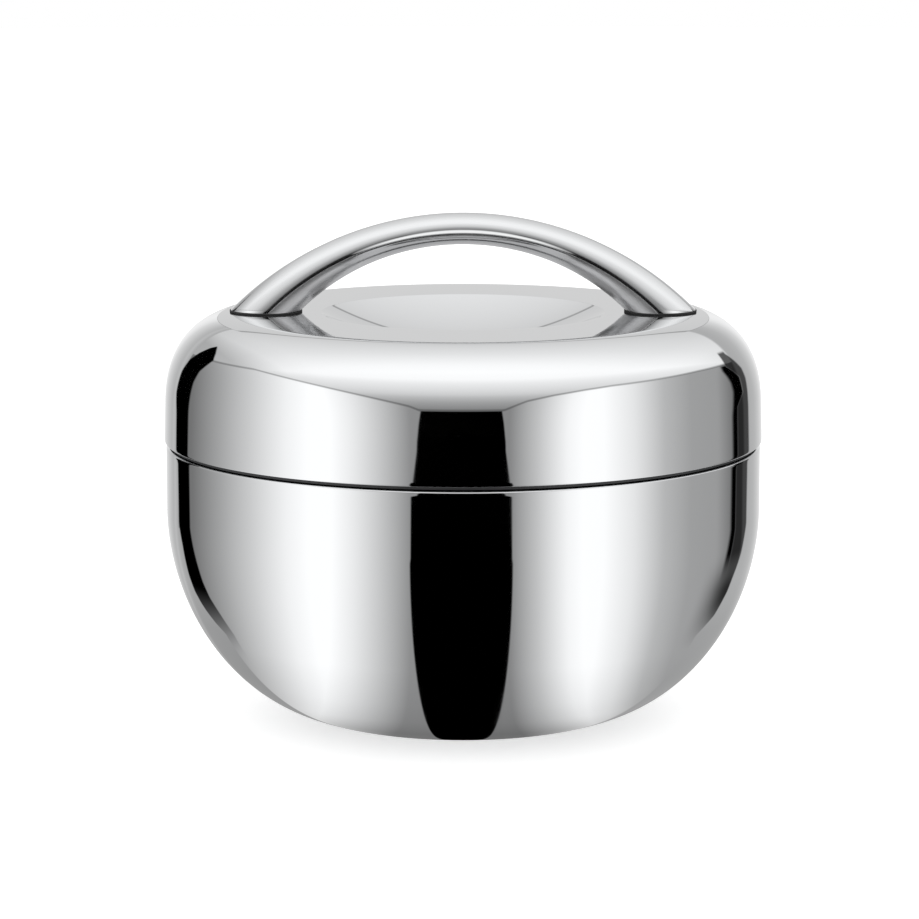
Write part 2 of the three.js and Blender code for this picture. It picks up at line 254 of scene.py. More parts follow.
def finish_of(name, colour, metallic, roughness):
    """A new material with its shader set to one colour, metallic and roughness."""
    material = bpy.data.materials.new(name)
    material.use_nodes = True
    shader = material.node_tree.nodes["Principled BSDF"]
    shader.inputs["Base Color"].default_value = linear(colour)
    shader.inputs["Metallic"].default_value = metallic
    shader.inputs["Roughness"].default_value = roughness
    return material, material.node_tree, shader


def buffed_stainless(name, colour, clearest, dullest):
    """Buffed 304 stainless: clear reflections, with the faint haze that wiping leaves in patches of 20 mm."""
    material, tree, shader = finish_of(name, colour, 1, clearest)
    place = add(tree, "ShaderNodeTexCoord")
    haze = add(tree, "ShaderNodeTexNoise", {"Vector": place.outputs["Object"], "Scale": 50, "Detail": 3})
    roughness = add(
        tree, "ShaderNodeMapRange", {
            "Value": haze.outputs["Fac"], "From Min": 0.35, "From Max": 0.7,
            "To Min": clearest, "To Max": dullest,
        },
    )
    tree.links.new(roughness.outputs["Result"], shader.inputs["Roughness"])
    return material


def underside_stainless_painted_shade():
    """Pressed 304 stainless: buffed in the middle of the arch, and left duller near the feet. Its colour is
    darkened as painted shade for the dark reflection under the arch, less so towards the feet.
    """
    material, tree, shader = finish_of("underside_stainless_painted_shade", HANDLE_UNDERSIDE_PAINTED_SHADE, 1, 0.12)
    place = add(tree, "ShaderNodeTexCoord")
    axes = add(tree, "ShaderNodeSeparateXYZ", {"Vector": place.outputs["Object"]})
    along = add(tree, "ShaderNodeMath", {0: axes.outputs["X"]}, operation="ABSOLUTE").outputs["Value"]
    towards_feet = add(
        tree, "ShaderNodeMapRange", {"Value": along, "From Min": 0.014, "From Max": 0.034},
        interpolation_type="SMOOTHSTEP",
    ).outputs["Result"]
    haze = add(tree, "ShaderNodeTexNoise", {"Vector": place.outputs["Object"], "Scale": 160, "Detail": 4})
    worn = add(tree, "ShaderNodeMath", {0: haze.outputs["Fac"], 1: 0.16, 2: 0.04}, operation="MULTIPLY_ADD")
    roughness = add(
        tree, "ShaderNodeMath", {0: towards_feet, 1: 0.26, 2: worn.outputs["Value"]}, operation="MULTIPLY_ADD",
    )
    # Painted shade: the underside's colour is darkest in the middle of the arch and paler towards the feet
    tint = add(
        tree, "ShaderNodeMix", {"Factor": towards_feet, "A": linear(HANDLE_UNDERSIDE_PAINTED_SHADE), "B": linear("#C9C9CA")},
        data_type="RGBA",
    )
    tree.links.new(tint.outputs["Result"], shader.inputs["Base Color"])
    tree.links.new(roughness.outputs["Value"], shader.inputs["Roughness"])
    return material


def turned_satin_stainless():
    """Spun and brushed 304 stainless: fine lines round the axis, drawn 0.5 mm apart so that they show."""
    material, tree, shader = finish_of("turned_satin_stainless", "#CDCFD0", 1, 0.28)
    place = add(tree, "ShaderNodeTexCoord")
    axes = add(tree, "ShaderNodeSeparateXYZ", {"Vector": place.outputs["Object"]})
    flat = add(tree, "ShaderNodeCombineXYZ", {"X": axes.outputs["X"], "Y": axes.outputs["Y"]})
    radius = add(tree, "ShaderNodeVectorMath", {"Vector": flat.outputs["Vector"]}, operation="LENGTH")
    rings = add(tree, "ShaderNodeCombineXYZ", {"X": radius.outputs["Value"], "Y": axes.outputs["Z"]})
    lines = add(
        tree, "ShaderNodeTexNoise",
        {"Vector": rings.outputs["Vector"], "Scale": 2000, "Detail": 2}, noise_dimensions="2D",
    )
    roughness = add(
        tree, "ShaderNodeMapRange",
        {"Value": lines.outputs["Fac"], "From Min": 0.3, "From Max": 0.7, "To Min": 0.2, "To Max": 0.38},
    )
    relief = add(
        tree, "ShaderNodeBump", {"Height": lines.outputs["Fac"], "Strength": 0.35, "Distance": 0.00004},
    )
    tree.links.new(roughness.outputs["Result"], shader.inputs["Roughness"])
    tree.links.new(relief.outputs["Normal"], shader.inputs["Normal"])
    return material


def moulded(name, colour, shade, roughness, grain):
    """A moulded plastic or rubber: a fine grain from the tool, and a colour between two shades."""
    material, tree, shader = finish_of(name, colour, 0, roughness)
    place = add(tree, "ShaderNodeTexCoord")
    drift = add(tree, "ShaderNodeTexNoise", {"Vector": place.outputs["Object"], "Scale": 60, "Detail": 4})
    tint = add(
        tree, "ShaderNodeMix",
        {"Factor": drift.outputs["Fac"], "A": linear(colour), "B": linear(shade)}, data_type="RGBA",
    )
    pores = add(
        tree, "ShaderNodeTexNoise", {"Vector": place.outputs["Object"], "Scale": 1 / grain, "Detail": 2},
    )
    relief = add(
        tree, "ShaderNodeBump", {"Height": pores.outputs["Fac"], "Strength": 0.4, "Distance": 0.00005},
    )
    tree.links.new(tint.outputs["Result"], shader.inputs["Base Color"])
    tree.links.new(relief.outputs["Normal"], shader.inputs["Normal"])
    return material, shader


def plated_steel():
    """Zinc-plated mild steel: dull grey, with the small cloudy patches of a barrel-plated part."""
    material, tree, shader = finish_of("zinc_plated_steel", "#B4B6B8", 1, 0.35)
    place = add(tree, "ShaderNodeTexCoord")
    clouds = add(tree, "ShaderNodeTexNoise", {"Vector": place.outputs["Object"], "Scale": 700, "Detail": 5})
    tint = add(
        tree, "ShaderNodeMix",
        {"Factor": clouds.outputs["Fac"], "A": linear("#A2A5A8"), "B": linear("#C6C7C6")}, data_type="RGBA",
    )
    roughness = add(
        tree, "ShaderNodeMapRange",
        {"Value": clouds.outputs["Fac"], "From Min": 0.3, "From Max": 0.7, "To Min": 0.26, "To Max": 0.46},
    )
    tree.links.new(tint.outputs["Result"], shader.inputs["Base Color"])
    tree.links.new(roughness.outputs["Result"], shader.inputs["Roughness"])
    return material


mirror = buffed_stainless("mirror_polished_stainless", STEEL_SHADE, 0.015, 0.045)
# The wheel reaches the handle less well: its top is buffed less, and its underside least of all. The
# underside's darker colour is painted shade for the dark reflection under the arch.
buffed_top = buffed_stainless("buffed_stainless", "#DCDDDE", 0.09, 0.14)
underside_painted_shade_finish = underside_stainless_painted_shade()
satin = turned_satin_stainless()
plated = plated_steel()
# Injection-moulded polypropylene, fine spark-eroded grain
# The neck ring is black. Where its flange shows in the seam between bowl and lid, the black partly stands for
# the shade in that gap: painted shade
dark_plastic, _ = moulded("black_polypropylene", "#232426", "#2E2F31", 0.48, 0.0005)
pale_plastic, _ = moulded("natural_polypropylene", "#E6E6E1", "#DAD9D3", 0.42, 0.0005)
# Compression-moulded silicone: soft, slightly cloudy, light passes a little way in
silicone, silicone_shader = moulded("clear_silicone", "#E8EBEA", "#DDE1E0", 0.5, 0.0004)
silicone_shader.inputs["Subsurface Weight"].default_value = 0.3
silicone_shader.inputs["Subsurface Scale"].default_value = 0.002
# Nitrile rubber, die-cut: matt and nearly black
rubber, _ = moulded("nitrile_rubber", "#1B1B1C", "#262627", 0.7, 0.0003)


# Bowl

def bowl_wall():
    recess = [
        (0, RECESS_DEPTH), (RECESS_RADIUS, RECESS_DEPTH), (RECESS_RADIUS + 2, 0.7), (RECESS_RADIUS + 3.2, 0),
        (BASE_RADIUS, 0),
    ]
    wall = bowl_curve(BASE_RADIUS, 0, BOWL_RADIUS, BOWL_CURVE_TOP, 72)
    lip = rounded([
        (BOWL_RADIUS, SEAM_BOTTOM - 1.5), (BOWL_RADIUS, SEAM_BOTTOM), (NECK_RADIUS + SHEET, SEAM_BOTTOM),
    ], LIP_ROUNDING)
    line = rounded(recess, PRESSED_ROUNDING)[:-1] + wall + lip
    bm = turned(bmesh.new(), sheet_outline(line, SHEET))
    return finished(bm, "polished_bowl_wall", "bowl", mirror, "bowl_outer_shell")


def bowl_liner():
    wall = bowl_curve(LINER_BASE_RADIUS, LINER_BOTTOM, LINER_RADIUS, BOWL_CURVE_TOP, 48)
    rim = rounded([wall[-1], (LINER_RADIUS, RIM_HEIGHT), (NECK_RADIUS + 0.1, RIM_HEIGHT)], LIP_ROUNDING)
    bm = turned(bmesh.new(), sheet_outline([(0, LINER_BOTTOM)] + wall + rim[1:], LINER_SHEET))
    return finished(bm, "satin_bowl_liner", "bowl", satin, "bowl_inner_liner")


def arc_block(bm, inside, outside, bottom, top, start, end, steps=8):
    """A block that follows the ring between two angles in degrees. Returns its points."""
    known = set(bm.verts)
    corners = [
        bm.verts.new((r * MM, 0, z * MM))
        for r, z in [(inside, bottom), (outside, bottom), (outside, top), (inside, top)]
    ]
    face = bm.faces.new(corners)
    bmesh.ops.rotate(bm, verts=corners, cent=(0, 0, 0), matrix=Matrix.Rotation(math.radians(start), 3, "Z"))
    bmesh.ops.spin(
        bm, geom=corners + face.edges[:] + [face], axis=(0, 0, 1), cent=(0, 0, 0),
        angle=math.radians(end - start), steps=steps,
    )
    return [v for v in bm.verts if v not in known]


def ramp(block, height, slope_from, slope_to, lift):
    """Lifts the block's points at one height, from nothing at one angle to the full lift at the other."""
    middle = math.radians((slope_from + slope_to) / 2)
    for v in block:
        if abs(v.co.z - height * MM) < 1e-6:
            turn = (math.atan2(v.co.y, v.co.x) - middle + math.pi) % math.tau - math.pi + middle
            share = (math.degrees(turn) - slope_from) / (slope_to - slope_from)
            v.co.z += lift * MM * min(max(share, 0), 1)


def neck_ring():
    hem = NECK_RADIUS + 0.4
    hem_bead = hem + 1.3
    # The flange fills the seam between the shells, and its black colour partly paints the seam's shade
    flange_bottom, flange_top = SEAM_BOTTOM + GAP, SEAM_BOTTOM + 1.2
    bm = turned(bmesh.new(), [
        (NECK_INSIDE, NECK_BOTTOM), (NECK_RADIUS - 0.3, NECK_BOTTOM), (hem, HEM_BOTTOM),
        (hem_bead, HEM_BOTTOM + 0.8), (hem_bead, HEM_TOP), (hem, HEM_TOP), (hem, flange_bottom),
        (COLLAR_RADIUS, flange_bottom), (COLLAR_RADIUS, flange_top), (NECK_RADIUS, flange_top),
        (NECK_RADIUS, NECK_TOP - 0.3), (NECK_RADIUS - 0.3, NECK_TOP), (NECK_INSIDE, NECK_TOP),
    ])
    root = NECK_RADIUS - 0.6
    for i in range(LUG_COUNT):
        centre = i * 360 / LUG_COUNT
        start, entry = centre - LUG_HALF_ANGLE, centre + LUG_HALF_ANGLE
        lug = arc_block(bm, root, NECK_LUG_RADIUS, NECK_LUG_BOTTOM, NECK_LUG_TOP, start, entry, 24)
        ramp(lug, NECK_LUG_BOTTOM, entry - LUG_RAMP_ANGLE, entry, LUG_RAMP_RISE)
        arc_block(
            bm, root, NECK_LUG_RADIUS, LID_LUG_BOTTOM, NECK_LUG_TOP,
            start - STOP_RIB_START, start - STOP_RIB_END, 4,
        )
    return finished(bm, "black_neck_ring", "bowl", dark_plastic, "bowl_neck_collar")


def liner_gasket():
    inside = LINER_RADIUS + 0.8
    bottom, top = NECK_TOP + GAP, RIM_HEIGHT - GAP
    outline = [(inside, bottom), (NECK_RADIUS, bottom), (NECK_RADIUS, top), (inside, top)]
    bm = turned(bmesh.new(), outline, 128)
    return finished(bm, "rim_gasket_ring", "bowl", silicone, "bowl_liner_gasket")


# Lid

def lid_line():
    """Outer line of the lid, from the foot of its skirt over the shoulder and flat ring into the hollow."""
    rise = SKIRT_TOP - SEAM_TOP
    skirt = []
    for i in range(1, 10):
        share = i / 10
        inwards = SKIRT_LEAN * ((1 - SKIRT_CURVE) * share + SKIRT_CURVE * share ** 2)
        skirt.append((LID_RADIUS - inwards, SEAM_TOP + rise * share))
    foot = rounded([(LID_RADIUS - 1.5, SEAM_TOP), (LID_RADIUS, SEAM_TOP), skirt[0]], SKIRT_ROUNDING)[:-1]
    start, end = Vector((LID_RADIUS - SKIRT_LEAN, SKIRT_TOP)), Vector((CREST_RADIUS, LID_TOP))
    lean = start + Vector((-(1 + SKIRT_CURVE) * SKIRT_LEAN / rise, 1)) * SHOULDER_RISE
    level = end + Vector((SHOULDER_FLAT, 0))
    shoulder = []
    for i in range(49):
        t = i / 48
        shoulder.append(tuple(
            start * (1 - t) ** 3 + lean * 3 * t * (1 - t) ** 2 + level * 3 * t * t * (1 - t) + end * t ** 3
        ))
    hollow = []
    for i in range(81):
        share = 1 - i / 80
        hollow.append((DISH_RADIUS * share, LID_TOP - DISH_DEPTH * (1 - share ** 2)))
    edge = rounded([(DISH_RADIUS + 2, LID_TOP), hollow[0], hollow[1]], DISH_EDGE_ROUNDING, 6)
    return foot + skirt + shoulder + edge + hollow[2:]


def lid_wall():
    bm = turned(bmesh.new(), sheet_outline(lid_line(), SHEET))
    return finished(bm, "polished_lid_wall", "lid", mirror, "lid_outer_shell")


def lid_liner():
    flange = SHELF_TOP + GAP + LINER_SHEET
    pan = rounded([
        (COLLAR_INSIDE - 0.4, flange), (SHELF_INSIDE + 0.2, flange),
        (SHELF_INSIDE - 2.2, LID_LINER_TOP), (0, LID_LINER_TOP),
    ], PRESSED_ROUNDING)
    bm = turned(bmesh.new(), sheet_outline(pan, LINER_SHEET))
    return finished(bm, "satin_lid_pan", "lid", satin, "lid_inner_liner")


def lid_ring():
    lip = SHELF_INSIDE + 1.2
    bm = turned(bmesh.new(), [
        (SHELF_INSIDE, SHELF_LIP_BOTTOM), (lip, SHELF_LIP_BOTTOM), (lip, SHELF_BOTTOM),
        (COLLAR_INSIDE, SHELF_BOTTOM), (COLLAR_INSIDE, COLLAR_BOTTOM), (COLLAR_RADIUS, COLLAR_BOTTOM),
        (COLLAR_RADIUS, SHELF_TOP - 3), (COLLAR_RADIUS - 0.9, SHELF_TOP), (SHELF_INSIDE, SHELF_TOP),
    ])
    root = COLLAR_INSIDE + 0.6
    for i in range(LUG_COUNT):
        centre = LUG_ENTRY_ANGLE + i * 360 / LUG_COUNT
        start, end = centre - LUG_HALF_ANGLE, centre + LUG_HALF_ANGLE
        lug = arc_block(bm, LID_LUG_RADIUS, root, LID_LUG_BOTTOM, LID_LUG_TOP, start, end, 24)
        ramp(lug, LID_LUG_TOP, start + LUG_RAMP_ANGLE, start, -LUG_RAMP_RISE)
    return finished(bm, "pale_lid_ring", "lid", pale_plastic, "lid_collar")


def seal_ring():
    ridge = RIM_HEIGHT + 0.9
    outline = [
        (SEAL_INSIDE, SEAL_BOTTOM), (SEAL_INSIDE + 2.8, SEAL_BOTTOM),
        (LINER_RADIUS - 0.4, ridge), (LINER_RADIUS + 1.6, ridge),
        (SEAL_RADIUS, SEAL_BOTTOM + 0.4), (SEAL_RADIUS, SEAL_TOP), (SEAL_INSIDE, SEAL_TOP),
    ]
    return finished(turned(bmesh.new(), outline), "clear_seal_ring", "seal", silicone, "lid_seal")


# Handle

def arc_point(radius, top, share):
    """Point of a circle arc in the XZ plane, at a share of the way from the top to the foot."""
    centre = top - radius
    angle = share * math.acos((HANDLE_FOOT - centre) / radius)
    return Vector((radius * math.sin(angle), 0, centre + radius * math.cos(angle)))


def handle_section(share):
    """Middle, upward direction, half height and half width of the handle's section at a share of the way."""
    outer = arc_point(OUTER_ARC_RADIUS, HEIGHT, share)
    inner = arc_point(INNER_ARC_RADIUS, INNER_ARC_TOP, share)
    rise = outer - inner
    width = HANDLE_MIDDLE_WIDTH + (HANDLE_FOOT_WIDTH - HANDLE_MIDDLE_WIDTH) * share ** 2
    return (outer + inner) / 2, rise.normalized(), rise.length / 2, width / 2


def handle_seam(height, share):
    """Half the seam's gap, and how far its bead stands out at a height over it. Both die away at the feet."""
    open_share = max(1 - (share / SEAM_BEAD_END) ** 2, 0)
    slope = min(max((SEAM_BEAD_HEIGHT - height) / (SEAM_BEAD_HEIGHT - 0.2), 0), 1)
    return CLOSED_SEAM + (GAP / 2 - CLOSED_SEAM) * open_share, SEAM_BEAD * slope * open_share


def handle_skin(bm, side, inset):
    """A sheet bent over or under the handle's middle line. Returns its free edges."""
    known = set(bm.edges)
    sheet = bmesh.ops.create_grid(bm, x_segments=HANDLE_STATIONS, y_segments=HALF_SECTION_STEPS, size=1)
    for v in sheet["verts"]:
        share = v.co.x
        turn = math.pi / 2 + v.co.y * math.pi / 2 + HANDLE_FULLNESS * math.sin(v.co.y * math.pi)
        middle, up, half, half_width = handle_section(share)
        rise = (half + side * HANDLE_SEAM_DROP - GAP / 2 - inset) * math.sin(turn)
        across = (half_width - inset) * math.cos(turn)
        half_gap, bead = handle_seam(rise, share)
        if inset == 0:
            across += math.copysign(bead, across)
        height = side * (rise + half_gap) - HANDLE_SEAM_DROP
        v.co = (middle + up * height + Vector((0, across, 0))) * MM
    return [e for e in bm.edges if e not in known and e.is_boundary]


def handle_half(side, name, finish, stands_for):
    bm = bmesh.new()
    rim = handle_skin(bm, side, 0) + handle_skin(bm, side, HANDLE_SHEET)
    bmesh.ops.bridge_loops(bm, edges=rim)
    bmesh.ops.recalc_face_normals(bm, faces=bm.faces)
    rim_angle = math.radians(HANDLE_CORNER_ANGLE)
    corners = [e for e in bm.edges if len(e.link_faces) == 2 and e.calc_face_angle(0) > rim_angle]
    bmesh.ops.bevel(
        bm, geom=corners, offset=HANDLE_CORNER * MM, affect="EDGES", segments=2, profile=0.5, material=-1,
        clamp_overlap=True,
    )
    return finished(bm, name, "lid", finish, stands_for)


def foot_pad(side, name, stands_for):
    """Thin pad under a foot, a little wider than the foot all round, with a hole for the screw."""
    middle, _, half, half_width = handle_section(1)
    bm = bmesh.new()
    outer = Matrix.Translation((middle.x * MM, 0, PAD_BOTTOM * MM)) @ Matrix.Diagonal(
        ((half + PAD_OVERHANG) * MM, (half_width + PAD_OVERHANG) * MM, 1, 1)
    )
    bmesh.ops.create_circle(bm, segments=96, radius=1, matrix=outer)
    hole = Matrix.Translation((SCREW_X * MM, 0, PAD_BOTTOM * MM))
    bmesh.ops.create_circle(bm, segments=96, radius=SCREW_HOLE * MM, matrix=hole)
    ring = bmesh.ops.bridge_loops(bm, edges=bm.edges[:])["faces"]
    raised = bmesh.ops.extrude_face_region(bm, geom=ring, use_keep_orig=True)["geom"]
    top = [g for g in raised if isinstance(g, bmesh.types.BMVert)]
    bmesh.ops.translate(bm, verts=top, vec=(0, 0, PAD_THICKNESS * MM))
    if side < 0:
        bmesh.ops.rotate(bm, verts=bm.verts, cent=(0, 0, 0), matrix=Matrix.Rotation(math.pi, 3, "Z"))
    return finished(bm, name, "lid", rubber, stands_for)


bowl_wall()
bowl_liner()
neck_ring()
liner_gasket()
lid_wall()
lid_liner()
lid_ring()
seal_ring()
handle_half(1, "polished_handle_top", buffed_top, "handle_upper_shell")
handle_half(-1, "polished_handle_underside", underside_painted_shade_finish, "handle_lower_shell")
foot_pad(1, "right_foot_rubber", "handle_foot_pad_right")
foot_pad(-1, "left_foot_rubber", "handle_foot_pad_left")

# Fasteners inside the lid keep their solids and take their own finish
for fastener, metal in (
    ("foot_block", plated), ("lock_washer", plated), ("screw", plated), ("backing_plate", satin),
):
    for side in ("right", "left"):
        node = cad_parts["handle_" + fastener + "_" + side]
        node.data.materials.clear()
        node.data.materials.append(metal)


# Studio

# Looking direction of the front view, 9.5 degrees downwards
VIEW = Vector((0, 0.986, -0.165))
# How straight behind the box a direction must point to meet the backdrop, as a cosine
BACKDROP_EDGE = 0.83
# How much narrower the softboxes show in a mirror that leans all the way up or down
SOFTBOX_NARROWING = 0.38
# How far the front flag stands to the left
FRONT_FLAG_OFFSET = 0.006
# How much the side flags lean inwards on their way down
FLAG_BEND = 0.09
# Azimuths of the left flag's outer edge and of the right one's frame, before the shift at each height
LEFT_OUTER_EDGE = -0.96
RIGHT_OUTER_EDGE = 0.888
# Floor, in metres
FLOOR_RADIUS = 3
FLOOR_DROP = 0.0002


def toned(marks):
    """Ramp stops from pairs of a lean, -1 to 1, and the grey that the photo shows there, 0 to 255."""
    return [((at + 1) / 2, linear("#" + 3 * ("%02X" % tone))[0]) for at, tone in marks]


def plain(marks):
    """Ramp stops from pairs of a lean, -1 to 1, and a share, 0 to 1."""
    return [((at + 1) / 2, share) for at, share in marks]


def mirror_leans(tree):
    """How a mirror must lean to send each direction's light towards the front: the studio's coordinates.

    The lean goes sideways, backwards and up, and the azimuth is how far the mirror is turned to the side.
    They run from -1 to 1, and the ones called half run from 0 to 1, as ramps take them.
    Straight_on is the cosine of a direction with the looking direction.
    """
    direction = add(tree, "ShaderNodeTexCoord").outputs["Generated"]
    lean = add(tree, "ShaderNodeVectorMath", {0: direction, 1: VIEW}, operation="SUBTRACT").outputs["Vector"]
    lean = add(tree, "ShaderNodeVectorMath", {0: lean}, operation="NORMALIZE").outputs["Vector"]
    parts = add(tree, "ShaderNodeSeparateXYZ", {"Vector": lean})
    sideways, height = parts.outputs["X"], parts.outputs["Z"]
    squared = add(tree, "ShaderNodeMath", {0: height, 1: height}, operation="MULTIPLY").outputs["Value"]
    level = add(tree, "ShaderNodeMath", {0: 1.0, 1: squared}, operation="SUBTRACT").outputs["Value"]
    level = add(tree, "ShaderNodeMath", {0: level}, operation="SQRT").outputs["Value"]
    azimuth = add(tree, "ShaderNodeMath", {0: sideways, 1: level}, operation="DIVIDE").outputs["Value"]
    narrow = add(
        tree, "ShaderNodeMath", {0: squared, 1: -SOFTBOX_NARROWING, 2: 1.0}, operation="MULTIPLY_ADD",
    )
    drawn_in = add(tree, "ShaderNodeMath", {0: sideways, 1: narrow.outputs["Value"]}, operation="DIVIDE")
    half = add(
        tree, "ShaderNodeVectorMath", {0: lean, 1: (0.5,) * 3, 2: (0.5,) * 3}, operation="MULTIPLY_ADD",
    )
    half = add(tree, "ShaderNodeSeparateXYZ", {"Vector": half.outputs["Vector"]}).outputs
    half_turn = add(tree, "ShaderNodeMath", {0: azimuth, 1: 0.5, 2: 0.5}, operation="MULTIPLY_ADD")
    half_in = add(
        tree, "ShaderNodeMath", {0: drawn_in.outputs["Value"], 1: 0.5, 2: 0.5}, operation="MULTIPLY_ADD",
    )
    straight_on = add(tree, "ShaderNodeVectorMath", {0: direction, 1: VIEW}, operation="DOT_PRODUCT")
    return {
        "height": height, "azimuth": azimuth, "straight_on": straight_on.outputs["Value"],
        "half_sideways": half["X"], "half_backwards": half["Y"], "half_height": half["Z"],
        "half_azimuth": half_turn.outputs["Value"], "half_drawn_in": half_in.outputs["Value"],
    }


def softboxes(tree, leans):
    """Light of the softbox at each side: bright in the middle, drawn in up and down, and weaker low down."""
    across = toned([
        (-0.9, 112), (-0.8, 162), (-0.7, 201), (-0.58, 241), (-0.51, 254), (-0.43, 254), (-0.36, 234),
        (-0.26, 192), (-0.17, 140), (0.15, 132), (0.24, 191), (0.34, 244), (0.39, 254), (0.46, 253),
        (0.56, 228), (0.66, 181), (0.75, 157), (0.84, 152), (0.9, 108),
    ])
    straight = add(tree, "ShaderNodeValToRGB", {"Fac": leans["half_sideways"]}, stops=across).outputs["Color"]
    bent = add(tree, "ShaderNodeValToRGB", {"Fac": leans["half_drawn_in"]}, stops=across).outputs["Color"]
    light = add(tree, "ShaderNodeMath", {0: straight, 1: bent}, operation="MINIMUM").outputs["Value"]
    low = plain([(-0.9, 0.6), (-0.8, 0.8), (-0.69, 0.9), (-0.5, 1)])
    low = add(tree, "ShaderNodeValToRGB", {"Fac": leans["half_height"]}, stops=low).outputs["Color"]
    return add(tree, "ShaderNodeMath", {0: light, 1: low}, operation="MULTIPLY").outputs["Value"]


def light_ceiling(tree, leans):
    """Ceiling of light, which fades to the back, the front and the left, and the height over its edge."""
    reach = plain([(0.15, 0), (0.45, 0.01), (0.65, 0.05)])
    reach = add(tree, "ShaderNodeValToRGB", {"Fac": leans["half_sideways"]}, stops=reach).outputs["Color"]
    reach = add(tree, "ShaderNodeMath", {0: leans["half_backwards"], 1: reach}, operation="SUBTRACT")
    back = toned([(-0.73, 254), (-0.64, 249), (-0.54, 237), (-0.44, 225), (-0.37, 219), (-0.14, 199)])
    back = add(tree, "ShaderNodeValToRGB", {"Fac": reach.outputs["Value"]}, stops=back).outputs["Color"]
    down = toned([
        (0.28, 130), (0.35, 159), (0.4, 184), (0.43, 203), (0.47, 216), (0.55, 234), (0.6, 249), (0.7, 254),
    ])
    down = add(tree, "ShaderNodeValToRGB", {"Fac": leans["half_height"]}, stops=down).outputs["Color"]
    ceiling = add(tree, "ShaderNodeMath", {0: back, 1: down}, operation="MINIMUM").outputs["Value"]
    left = plain([(-0.65, 0.6), (-0.5, 0.95), (-0.4, 1)])
    left = add(tree, "ShaderNodeValToRGB", {"Fac": leans["half_sideways"]}, stops=left).outputs["Color"]
    ceiling = add(tree, "ShaderNodeMath", {0: ceiling, 1: left}, operation="MULTIPLY").outputs["Value"]
    edge = plain([
        (-0.7, 0.565), (-0.6, 0.567), (-0.34, 0.41), (-0.17, 0.305), (-0.14, 0.27), (0.13, 0.27),
        (0.2, 0.352), (0.28, 0.4), (0.37, 0.438), (0.45, 0.462), (0.57, 0.478), (0.7, 0.497),
    ])
    edge = add(tree, "ShaderNodeValToRGB", {"Fac": leans["half_sideways"]}, stops=edge).outputs["Color"]
    over_edge = add(tree, "ShaderNodeMath", {0: leans["height"], 1: edge}, operation="SUBTRACT")
    return ceiling, over_edge.outputs["Value"]


def grey_rims(tree, leans):
    """Grey that lies beyond the side flags: it pales towards the outline, and is darker low down."""
    rim = toned([
        (-1, 225), (-0.993, 204), (-0.983, 189), (-0.97, 171), (-0.961, 180), (-0.95, 160),
        (0.95, 168), (0.97, 175), (0.983, 190), (0.991, 200), (1, 225),
    ])
    rim = add(tree, "ShaderNodeValToRGB", {"Fac": leans["half_azimuth"]}, stops=rim).outputs["Color"]
    shaded = plain([(-0.65, 0.78), (-0.45, 0.84), (-0.35, 0.93), (-0.25, 1)])
    shaded = add(tree, "ShaderNodeValToRGB", {"Fac": leans["half_height"]}, stops=shaded).outputs["Color"]
    return add(tree, "ShaderNodeMath", {0: rim, 1: shaded}, operation="MULTIPLY").outputs["Value"]


def side_flags(tree, leans):
    """Azimuths that count from each edge of the side flags, so that an edge stays at one value at any height.

    They are the left flag's inner and outer edge, the right one's, and the outer edge of its grey frame.
    """
    bend = add(tree, "ShaderNodeMath", {0: leans["height"], 1: 0.0}, operation="MINIMUM").outputs["Value"]
    left, right = [
        add(tree, "ShaderNodeMath", {0: bend, 1: slant, 2: leans["azimuth"]}, operation="MULTIPLY_ADD")
        for slant in (FLAG_BEND, -FLAG_BEND)
    ]
    shifts = [
        (left, [
            (-0.44, 0.045), (-0.41, 0.039), (-0.37, 0.031), (-0.34, 0.024), (-0.3, 0.014), (-0.24, 0.008),
            (-0.1, 0.005), (0, 0.005), (0.3, 0.008), (0.42, 0.015), (0.572, 0.039), (0.65, 0.03),
            (0.715, 0.017), (0.76, 0),
        ]),
        (left, [
            (-0.45, 0.055), (-0.41, 0.034), (-0.37, 0.019), (-0.34, 0.011), (-0.3, 0.004), (-0.24, 0.003),
            (-0.12, 0.009), (0, 0.009), (0.17, 0.002), (0.36, 0.003), (0.5, 0.011), (0.6, 0.025),
            (0.69, 0.043), (0.75, 0.065),
        ]),
        (right, [(0.05, 0.003), (0.16, 0.01), (0.22, 0.014), (0.3, 0.013), (0.36, 0.008), (0.43, 0)]),
        (right, [(0, 0.0205), (0.1, 0.023), (0.19, 0.047), (0.33, 0.047), (0.4, 0.034), (0.47, 0.018)]),
        (right, [
            (-0.45, 0), (-0.41, 0.021), (-0.38, 0.036), (-0.34, 0.042), (-0.29, 0.049), (-0.24, 0.051),
            (-0.15, 0.059), (0, 0.059), (0.12, 0.06), (0.3, 0.065), (0.4, 0.063), (0.5, 0.052), (0.6, 0.039),
        ]),
    ]
    edges = []
    for side, marks in shifts:
        shift = add(tree, "ShaderNodeValToRGB", {"Fac": leans["half_height"]}, stops=plain(marks))
        edge = add(
            tree, "ShaderNodeMath", {0: side.outputs["Value"], 1: shift.outputs["Color"]},
            operation="SUBTRACT",
        )
        edges.append(edge.outputs["Value"])
    return edges


